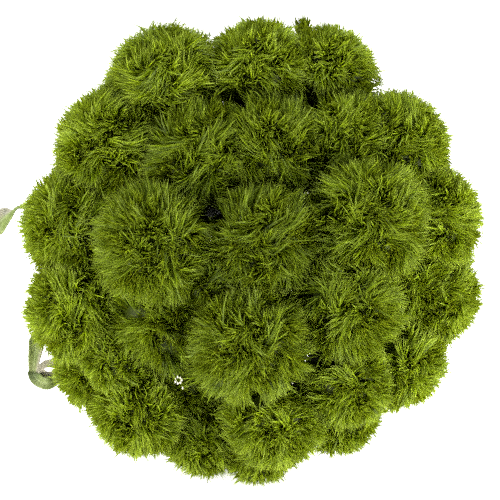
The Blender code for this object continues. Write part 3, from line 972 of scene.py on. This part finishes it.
def blade(rows, thick=LEAF_THICK, wave=0.0):
    """Corners, triangles, and places across and along. Rows with no width make a lance."""
    free = len(rows[0]) == 3
    line = smoothed([Vector(row[0]) for row in rows])
    ways = smoothed([Vector(row[1]).normalized() for row in rows])
    halves = smoothed([Vector((row[2], 0, 0)) for row in rows]) if free else None
    last = len(line) - 1
    bm = bmesh.new()
    across, along = bm.verts.layers.float.new("across"), bm.verts.layers.float.new("along")
    bmesh.ops.create_grid(bm, x_segments=BLADE_COLUMNS, y_segments=last, size=1)
    for vert in bm.verts:
        row, edge = round((vert.co.y + 1) / 2 * last), vert.co.x
        share = row / last
        heading = (line[min(row + 1, last)] - line[max(row - 1, 0)]).normalized()
        right = ways[row].normalized()
        if not free:
            right = (right - heading * right.dot(heading)).normalized()
        half = halves[row].x if free else lance(share)
        lift = KEEL * abs(edge) ** KEEL_ROUNDING
        lift += wave * edge * abs(edge) * math.sin(math.tau * WAVES * share + edge)
        vert[across], vert[along] = edge, share
        vert.co = line[row] + right * edge * half + right.cross(heading) * half * lift
    bmesh.ops.recalc_face_normals(bm, faces=bm.faces)
    bmesh.ops.solidify(bm, geom=bm.faces[:], thickness=thick)
    values = np.array([(v[across], v[along]) for v in bm.verts])
    return *template(bm), *values.T


print("points on a smoothed line of seven:", len(smoothed([Vector((i, 0, 0)) for i in range(7)])))

# %% A stem with what grows on it
SHOOT_SHARES = np.linspace(0, 1, 15)
SKIN, BLADE = 0, 1
PITH_EDGE = 0.99  # where the green rim of a cut end turns to pith
PITH_SOFT = 0.2
DRY_FROM = 0.93  # a leaf's tip is a little dry
DRY_SOON = 6
DRY_MOST = 0.5
LONG_BASE = 2.5  # half width of a long leaf at its stem
PALE_SOON = 2.5
# Painted shade: next to the fold the leaf is darkened in colour, where its underside lies in shade.
FOLD_UNTIL = 0.35  # next to the fold it is dark
FOLD_SOON = 4
FOLD_SHADE = 0.6
CURL_THICK = 0.2


def add_stalk(growth, points, radii, near):
    corners, faces, ring, off = stalk(points, radii)
    cut = np.clip((PITH_EDGE - off) / PITH_SOFT, 0, 1)
    growth.add(corners, faces, SKIN, joint=near[ring], cut=cut)


def blades_on(stem):
    """Corners, triangles, places across and other values of each blade."""
    for leaf in LEAVES:
        if leaf.stem == stem.number:
            *shape, along = blade(arched_rows(stem, leaf), wave=EDGE_WAVE)
            yield *shape, {"dry": np.clip((along - DRY_FROM) * DRY_SOON, 0, DRY_MOST)}
    for leaf in LONG_LEAVES:
        if leaf.stem == stem.number:
            first = (stem.above(leaf.joint), leaf.rows[0][1], LONG_BASE)
            *shape, across, _ = blade([first, *leaf.rows])
            yield *shape, across, {"dry": np.clip((-across - leaf.pale_from) * PALE_SOON, 0, 1)}
    if stem.number == LONG_LEAVES[1].stem:
        *shape, along = blade(FOLDED)
        yield *shape, {"fold": np.clip((FOLD_UNTIL - along) * FOLD_SOON, 0, 1) * FOLD_SHADE}
        *shape, _ = blade(PAPERY_CURL, thick=CURL_THICK)
        yield *shape, {"dry": 1.0}


def stem_piece(stem, materials):
    number = stem.number
    joints = {leaf.joint for leaf in (*LEAVES, *LONG_LEAVES) if leaf.stem == number}
    growth = Growth("across", "dry", "fold", "joint", "cut")
    add_stalk(growth, *stem_line(stem, joints))
    for small, owner in SHOOTS.items():
        if owner == number:
            line = [bezier(stem.shoot(small), share) for share in SHOOT_SHARES]
            no_joint = np.zeros(len(line))
            add_stalk(growth, line, no_joint + SHOOT_RADIUS, no_joint)
    for corners, faces, across, values in blades_on(stem):
        growth.add(corners, faces, BLADE, across=across, **values)
    return growth.piece(f"stalk_{number:02d}", "stem_and_leaf", materials, f"stem_{number:02d}")


# %% [markdown]
# ## Skin of stems and leaves
# A stem's skin is smooth and a little waxy, paler at the joints, with a reddish ring where a leaf
# was. A leaf is greyer and softer, with a pale midrib and fine parallel veins, which are only as
# high as a scratch: bump is enough for them. Light comes through a leaf, so it gets a share of
# Translucent too.

# %% Stem and leaf finishes
skin = Finish("stem_skin", Roughness=0.42, Specular_IOR_Level=0.35)
fine, joint = skin.noise(1800.0, 2.0), skin.attribute("joint")
green = skin.ramp(skin.noise(260.0, 3.0), [
    (0.3, (0.070, 0.12, 0.022)), (0.55, (0.11, 0.175, 0.034)), (0.75, (0.155, 0.225, 0.05)),
])
pale = skin.blend_colours(joint * 0.75, green, (0.30, 0.38, 0.13, 1))
red = skin.blend_colours(joint**6 * fine * 0.9, pale, (0.20, 0.09, 0.05, 1))
pith = skin.ramp(fine, [(0.35, (0.42, 0.46, 0.24)), (0.65, (0.66, 0.68, 0.44))])
skin.colour(skin.blend_colours(skin.attribute("cut"), red, pith))
skin.bump(fine, 0.0003, 0.5)

VEINS = 34.0
leaf = Finish("leaf_green", Roughness=0.5, Specular_IOR_Level=0.3)
fine, across = leaf.noise(1500.0, 2.0), leaf.attribute("across")
green = leaf.ramp(leaf.noise(120.0, 4.0), [
    (0.3, (0.090, 0.130, 0.028)), (0.5, (0.125, 0.167, 0.044)), (0.7, (0.162, 0.203, 0.064)),
])
rib = leaf.ramp(abs(across), [(0.0, (1, 1, 1)), (0.05, (0.8, 0.8, 0.8)), (0.11, (0, 0, 0))])
ribbed = leaf.blend_colours(rib, green, (0.235, 0.29, 0.13, 1))
papery = leaf.ramp(fine, [(0.3, (0.22, 0.21, 0.15)), (0.7, (0.31, 0.30, 0.23))])
open_part = leaf.blend_colours(leaf.attribute("dry"), ribbed, papery)
# The dark colour next to the fold is painted shade.
leaf.colour(leaf.blend_colours(leaf.attribute("fold"), open_part, (0.03, 0.05, 0.015, 1)))
leaf.bump((across * VEINS).sine() + rib * 2.0 + fine, 0.00012, 0.6)
leaf.let_light_through(0.25, (0.24, 0.25, 0.10))

stalks = [stem_piece(stem, [skin.material, leaf.material]) for stem in STEMS.values()]
print("stem and leaf triangles:", sum(len(piece.data.polygons) for piece in stalks))

# %% [markdown]
# ## Tie
# A hand-tied bunch is held by a few turns of twine. Real twine is two plies twisted round each
# other, and that twist is what makes it look like twine, so each ply is a stalk of its own that
# winds round the middle line. Three turns lie side by side, their ends hook round each other in a
# knot on top, and loose fibres stand off them.

# %% Twine round the stems
TIE_TURNS = 3
TIE_PITCH = 1.85
PLY_RADIUS = 0.52
PLY_SIDES = 7
PLY_OFF = 0.45
TIE_GAP = 0.3
TWINE_OFF = TIE_GAP + PLY_OFF + PLY_RADIUS  # from a stem's skin to the twine's middle line
TWIST = 5.5  # length of one twist
TWINE_STEP = 0.55
STEPS_ROUND = 360
KNOT_AT = math.radians(90)
KNOT_END = [  # one end of the twine in the knot: along the turn, out, and along the bunch
    (-5.0, -0.1, 0.0), (-2.4, 0.7, 0.4), (0.2, 1.7, 1.3), (2.0, 1.5, 0.2),
    (1.2, 0.6, -1.3), (-1.4, 1.0, -1.4), (-2.1, 2.2, 0.1), (-0.4, 3.0, 1.5),
    (3.0, 2.6, 3.2), (8.0, 1.6, 6.5), (12.5, 0.2, 11.0), (14.5, -1.4, 17.0),
]
FIBRES = 500
FIBRE_LENGTHS = (0.3, 1)
FIBRE_LONGEST = 1.3
FIBRE_LEAN = 0.35
FIBRE_BEND = 0.2
FIBRE_THIN = 0.35
TWINE_SEED = 7


def round_way(turn):
    return Vector((math.cos(turn), math.sin(turn), 0))


def evenly(points):
    """The same line with its points TWINE_STEP apart."""
    points = np.array(points)
    gone = np.concatenate([[0], np.cumsum(np.linalg.norm(np.diff(points, axis=0), axis=1))])
    marks = np.linspace(0, gone[-1], max(3, round(gone[-1] / TWINE_STEP)))
    return [Vector([np.interp(mark, gone, points[:, axis]) for axis in range(3)]) for mark in marks]


def add_twine(growth, points):
    line = evenly(points)
    side, up = sideways(line, AHEAD)
    twist = np.arange(len(line)) * TWINE_STEP * math.tau / TWIST
    for ply in (0, math.pi):
        off = side * np.cos(twist + ply)[:, None] + up * np.sin(twist + ply)[:, None]
        middle = [Vector(point) for point in np.array(line) + PLY_OFF * off]
        corners, faces, ring, _ = stalk(middle, [PLY_RADIUS] * len(middle), PLY_SIDES, AHEAD)
        # depth: how far a corner lies from the twine's middle line, read for the painted shade between
        # the plies.
        depth = np.linalg.norm(corners - np.array(line)[ring], axis=1) / (PLY_OFF + PLY_RADIUS)
        growth.add(corners, faces, depth=depth)
    return line


def add_fibres(growth, line, draw):
    """Short loose fibres: bracts again, drawn thin."""
    places = np.array(line)[draw.integers(0, len(line), FIBRES)]
    way = unit(leans(FIBRES, 1, draw))
    root = places + way * PLY_RADIUS
    tip = root + way * draw.uniform(*FIBRE_LENGTHS, FIBRES)[:, None] * FIBRE_LONGEST
    tip += leans(FIBRES, FIBRE_LEAN, draw)
    bend = (root + tip) / 2 + leans(FIBRES, FIBRE_BEND, draw)
    share = BRACT[:, 2][None, :, None]
    spine = root[:, None] * (1 - share) + tip[:, None] * share
    wide = bract_corners(root, bend, tip, draw)
    growth.add_bracts(spine + (wide - spine) * FIBRE_THIN, depth=1.0)


growth = Growth("depth")
winding = []
for step in range(TIE_TURNS * STEPS_ROUND):
    turn, degrees = divmod(step, STEPS_ROUND)
    way = round_way(KNOT_AT + math.radians(degrees))
    stem = max(STEMS.values(), key=lambda s: s.waist.dot(way))
    along = (turn + degrees / STEPS_ROUND - TIE_TURNS / 2) * TIE_PITCH
    winding.append(stem.waist + way * (STEM_RADIUS + TWINE_OFF) + AHEAD * along)
line = add_twine(growth, winding)
knot = Vector((*winding[0].xy, 0))
out, forward = round_way(KNOT_AT), round_way(KNOT_AT + math.pi / 2)
for end, sign in ((winding[0], 1), (winding[-1], -1)):
    rows = [knot + forward * x * -sign + out * y + AHEAD * (z * sign) for x, y, z in KNOT_END]
    line += add_twine(growth, smoothed([end, *rows]))
add_fibres(growth, line, np.random.default_rng(TWINE_SEED))
print("points along the twine:", len(line), "and fibres:", FIBRES)

# %% Twine finish
finish = Finish("twine_fibre", Roughness=0.85, Specular_IOR_Level=0.2)
fibre = finish.noise(1600.0, 3.0)
brown = finish.ramp(fibre, [
    (0.3, (0.26, 0.17, 0.075)), (0.5, (0.47, 0.34, 0.18)), (0.72, (0.66, 0.52, 0.31)),
])
# Painted shade: the twine is darker deep between its two plies.
groove_shade = finish.ramp(finish.attribute("depth"), [(0.35, (0.30, 0.28, 0.25)), (0.8, (1, 1, 1))])
finish.colour(finish.blend_colours(1.0, brown, groove_shade, "MULTIPLY"))
finish.bump(fibre, 0.0004, 0.8)
twine = growth.piece("twine", "twine", [finish.material], "tie")
print("twine triangles:", len(twine.data.polygons))

# %% [markdown]
# ## Pale tips
# Deep between the heads at the bottom a few white-green specks catch the light: a little crown of
# seven pale beads, and single ones beside it. Each bead is a small ball, drawn out a little.

# %% Pale beads
BEAD_RING = (-49.3, -89.6, 205.5)
BEADS_IN_RING = 7
BEAD_RING_RADIUS = 2.2
BEAD_RADIUS = 0.9
BEAD_SHAPE = (0.8, 1.15, 1.0)
SINGLE_BEADS = [  # place, radius
    ((-52.5, -86.2, 205), 0.8), ((-46.4, -95.0, 205), 0.75), ((-22.6, -92.4, 217), 1.0),
    ((-24.6, -95.0, 216), 0.7), ((29.3, -91.0, 213), 0.9), ((37.2, -80.4, 214), 0.8),
]


def add_bead(growth, place, radius):
    bm = bmesh.new()
    bmesh.ops.create_uvsphere(bm, u_segments=8, v_segments=5, radius=radius)
    bmesh.ops.scale(bm, vec=BEAD_SHAPE, verts=bm.verts)
    corners, faces = template(bm)
    growth.add(corners + np.array(place), faces)


growth = Growth()
for bead in range(BEADS_IN_RING):
    way = round_way(math.tau * bead / BEADS_IN_RING)
    add_bead(growth, Vector(BEAD_RING) + way * BEAD_RING_RADIUS, BEAD_RADIUS)
for place, radius in SINGLE_BEADS:
    add_bead(growth, place, radius)
finish = Finish("pale_tip", Roughness=0.4, Specular_IOR_Level=0.4)
cloud = finish.noise(900.0, 2.0)
finish.colour(finish.ramp(cloud, [(0.35, (0.55, 0.56, 0.46)), (0.65, (0.88, 0.85, 0.80))]))
finish.bump(cloud, 0.0003, 0.5)
growth.piece("pale_tips", "bracts", [finish.material])
print("pale beads:", BEADS_IN_RING + len(SINGLE_BEADS))

# %% [markdown]
# ## Floor, light and camera
# The bunch lies on a plain pale floor that runs out of the picture and glows a little, like a light
# table, which keeps the shadow faint. Soft lamps stand at both sides, low in front and above, and
# the white sky is dimmest towards the camera. Light from the sides and from behind is what makes
# the rims of the heads glow.

# %% Floor
FLOOR_GLOW = 0.85
FLOOR_HALF = 6
FLOOR_WHITE = (0.94, 0.94, 0.94, 1)
WHITE = (1, 1, 1, 1)
bm = bmesh.new()
bmesh.ops.create_grid(bm, x_segments=1, y_segments=1, size=FLOOR_HALF)
mesh = bpy.data.meshes.new("floor")
bm.to_mesh(mesh)
bm.free()
finish = Finish("floor_white", Roughness=0.9, Specular_IOR_Level=0.1, Base_Color=FLOOR_WHITE,
                Emission_Color=WHITE, Emission_Strength=FLOOR_GLOW)
mesh.materials.append(finish.material)
floor = placed("floor", mesh)

# %% Light
HEADS_AT = (0, -0.15, 0.16)
LOW_WARM = (1.0, 0.94, 0.86)
LAMPS = [  # name, place, aim, size in metres, power in watts, colour
    ("right_lamp", (1.2, -0.35, 0.35), HEADS_AT, 0.9, 11, (1.0, 0.98, 0.93)),
    ("left_lamp", (-1.1, -0.2, 0.7), HEADS_AT, 1.0, 7, (0.95, 0.98, 1.0)),
    ("low_right_lamp", (0.5, -0.5, 0.04), (0.05, -0.2, 0.06), 0.4, 11.5, LOW_WARM),
    ("low_left_lamp", (-0.5, -0.5, 0.04), (-0.05, -0.2, 0.06), 0.4, 11.5, LOW_WARM),
    ("top_lamp", (0.0, 0.3, 1.6), (0, 0.0, 0.15), 1.6, 70, (1.0, 1.0, 1.0)),
]
for name, place, aim, size, power, colour in LAMPS:
    lamp = bpy.data.lights.new(name, "AREA")
    lamp.shape = "DISK"
    lamp.size = size
    lamp.energy = power
    lamp.color = colour
    stand = placed(name, lamp)
    stand.location = place
    stand.rotation_euler = (Vector(aim) - Vector(place)).to_track_quat("-Z", "Y").to_euler()

DIM_SKY = 0.04  # the sky's strength in front of the heads
BRIGHT_SKY = 1.15  # and to the sides and behind
SKY_FADE = {"From Min": -0.1, "From Max": 0.75, "To Min": BRIGHT_SKY, "To Max": DIM_SKY}
TOWARDS_CAMERA = Vector(TURN[:, 2])
sky = bpy.data.worlds.new("studio")
nodes = Nodes(sky)
where = nodes.node("ShaderNodeTexCoord", output="Generated")
dot = {"operation": "DOT_PRODUCT"}
facing = nodes.node("ShaderNodeVectorMath", dot, {0: where, 1: TOWARDS_CAMERA}, "Value")
smooth = {"interpolation_type": "SMOOTHSTEP"}
strength = nodes.node("ShaderNodeMapRange", smooth, {"Value": facing, **SKY_FADE}, "Result")
background = nodes.tree.nodes["Background"]
nodes.feed(background.inputs["Color"], WHITE)
nodes.feed(background.inputs["Strength"], strength)
scene = bpy.context.scene
scene.world = sky
scene.view_settings.view_transform = "Standard"
scene.cycles.use_denoising = False
scene.cycles.filter_width = 1.5
print("lamps:", len(LAMPS))

# %% Camera
CAMERA_AHEAD = 1190.0  # from the tie, along the bunch's axis
FRAME_AT = 190.0  # where the picture's width is measured
FRAME_WIDTH = 350.0
SENSOR = 36.0

lens = bpy.data.cameras.new("camera")
lens.sensor_width = SENSOR
lens.lens = SENSOR * (CAMERA_AHEAD - FRAME_AT) / FRAME_WIDTH
lens.clip_start = 0.01
camera = placed("camera", lens)
camera.location = on_floor((0, 0, CAMERA_AHEAD))
camera.rotation_euler = TOWARDS_CAMERA.to_track_quat("Z", "Y").to_euler()
scene.camera = camera
print("lens:", round(lens.lens, 1), "mm, at", [round(v, 3) for v in camera.location])
